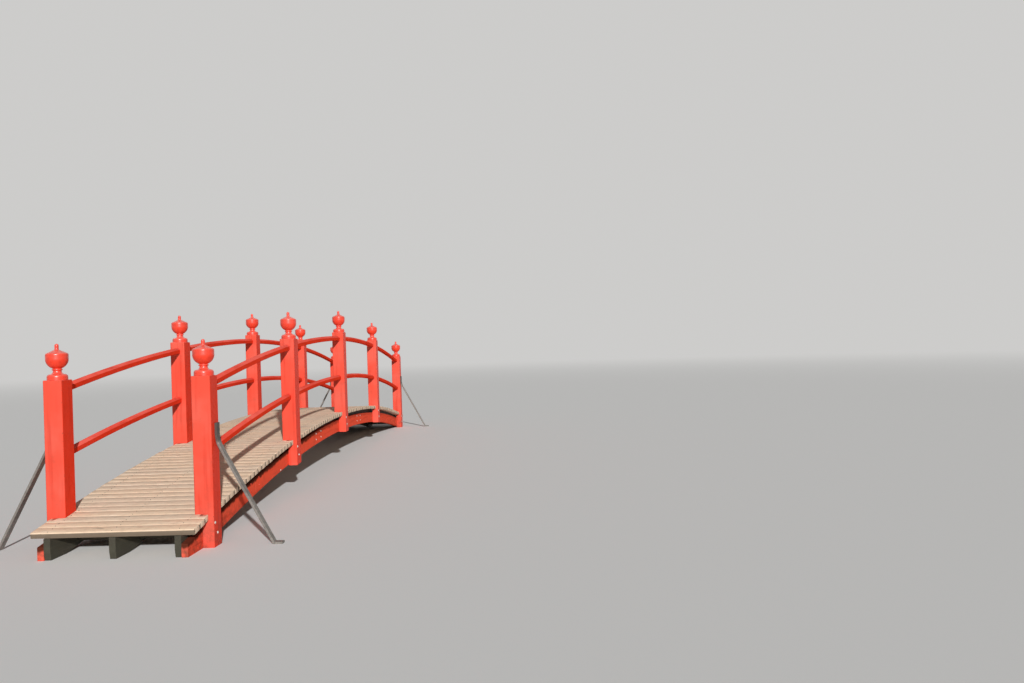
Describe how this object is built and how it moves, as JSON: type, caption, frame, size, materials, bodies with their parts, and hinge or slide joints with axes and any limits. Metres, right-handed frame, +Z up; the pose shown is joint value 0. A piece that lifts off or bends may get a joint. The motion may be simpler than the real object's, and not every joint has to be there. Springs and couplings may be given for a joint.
{
  "type": "moon bridge",
  "caption": "Low arched red timber garden footbridge with square posts, turned finials, peaked rails, arched beams and a weathered board deck.",
  "frame": {"origin": "centre of the plan at ground level, under the crown of the arch", "axes": "+X along the bridge, +Y across to the left-hand railing, +Z up"},
  "size_m": [9.4892, 2.34, 2.0264],
  "materials": {
    "red_paint": "glossy vermilion paint on timber, slightly faded",
    "weathered_boards": "bare timber boards weathered to grey and tan",
    "dark_timber": "dark preservative stain on sawn timber",
    "grey_steel": "dull weathered galvanised steel"
  },
  "bodies": {
    "root": {"right_post_1": "red_paint", "right_finial_1": "red_paint", "right_post_2": "red_paint", "right_finial_2": "red_paint", "right_post_3": "red_paint", "right_finial_3": "red_paint", "right_post_4": "red_paint", "right_finial_4": "red_paint", "right_post_5": "red_paint", "right_finial_5": "red_paint", "right_top_rail": "red_paint", "right_lower_rail": "red_paint", "right_fascia": "red_paint", "right_stringer": "dark_timber", "right_brace_1": "grey_steel", "right_brace_5": "grey_steel", "left_post_1": "red_paint", "left_finial_1": "red_paint", "left_post_2": "red_paint", "left_finial_2": "red_paint", "left_post_3": "red_paint", "left_finial_3": "red_paint", "left_post_4": "red_paint", "left_finial_4": "red_paint", "left_post_5": "red_paint", "left_finial_5": "red_paint", "left_top_rail": "red_paint", "left_lower_rail": "red_paint", "left_fascia": "red_paint", "left_stringer": "dark_timber", "left_brace_1": "grey_steel", "left_brace_5": "grey_steel", "middle_stringer": "dark_timber", "cross_bearers": "dark_timber", "deck_start": "weathered_boards", "deck_bay_1": "weathered_boards", "deck_bay_2": "weathered_boards", "deck_bay_3": "weathered_boards", "deck_bay_4": "weathered_boards", "deck_end": "weathered_boards"}
  },
  "joints": []
}
